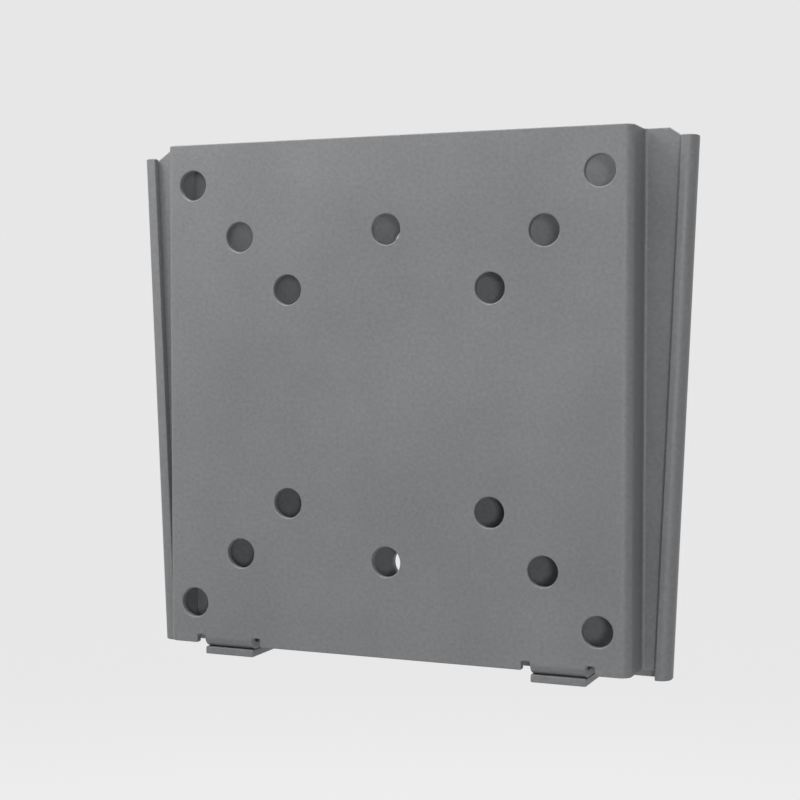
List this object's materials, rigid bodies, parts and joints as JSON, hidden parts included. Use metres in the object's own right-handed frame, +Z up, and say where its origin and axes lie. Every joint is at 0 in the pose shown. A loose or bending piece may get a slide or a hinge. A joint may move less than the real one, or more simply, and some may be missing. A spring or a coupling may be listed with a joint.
{
  "type": "tv wall mount",
  "caption": "Fixed low-profile screen mount: a folded steel wall plate with tapered side channels, and a hat-shaped screen plate that drops into them and lifts out upwards.",
  "frame": {"origin": "on the wall plane, at the back face of the wall plate, level with the middle of the screen hole grid", "axes": "+X to the right seen from the room, +Y into the wall, +Z up"},
  "size_m": [0.138, 0.0144, 0.1221],
  "materials": {
    "grey_powder_coat": "satin mid-grey powder coat with a fine texture"
  },
  "bodies": {
    "wall_plate": {"wall_plate": "grey_powder_coat"},
    "screen_plate": {"screen_plate": "grey_powder_coat"}
  },
  "joints": [
    {"name": "screen_plate_lift", "type": "slide", "parent": "wall_plate", "child": "screen_plate", "axis": [0, 0, 1], "range_m": [0, 0.125]}
  ]
}
